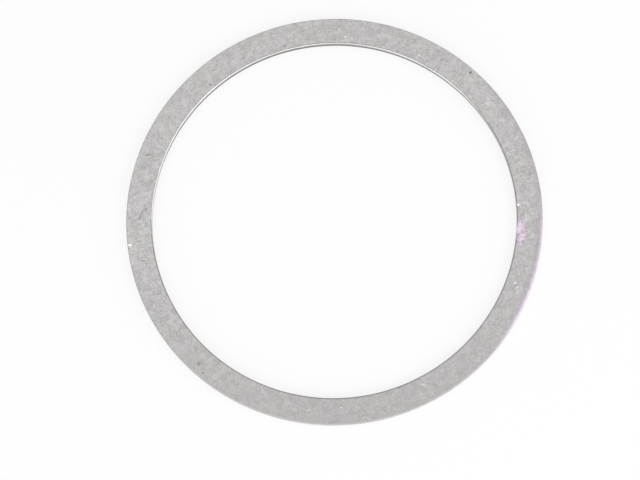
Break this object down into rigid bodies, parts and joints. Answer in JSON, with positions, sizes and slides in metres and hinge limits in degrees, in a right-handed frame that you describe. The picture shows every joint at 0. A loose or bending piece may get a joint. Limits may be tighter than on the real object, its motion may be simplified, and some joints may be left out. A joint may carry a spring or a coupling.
{
  "type": "shim ring",
  "caption": "Flat stamped steel shim ring that sets the axial gap behind a bearing's outer ring in its housing.",
  "frame": {"origin": "centre of the ring on its lower face, the face that the rim rolls into and the bore's burr corner stands on", "axes": "+Z along the ring's axis, from the lower face to the upper face, where the bore has its rolled corner and the rim its burr corner; X and Y lie in the plane of the ring"},
  "size_m": [0.0618, 0.0618, 0.0015],
  "materials": {
    "steel": "satin, as tumbled cold-rolled sheet"
  },
  "bodies": {
    "root": {"shim_ring": "steel"}
  },
  "joints": []
}
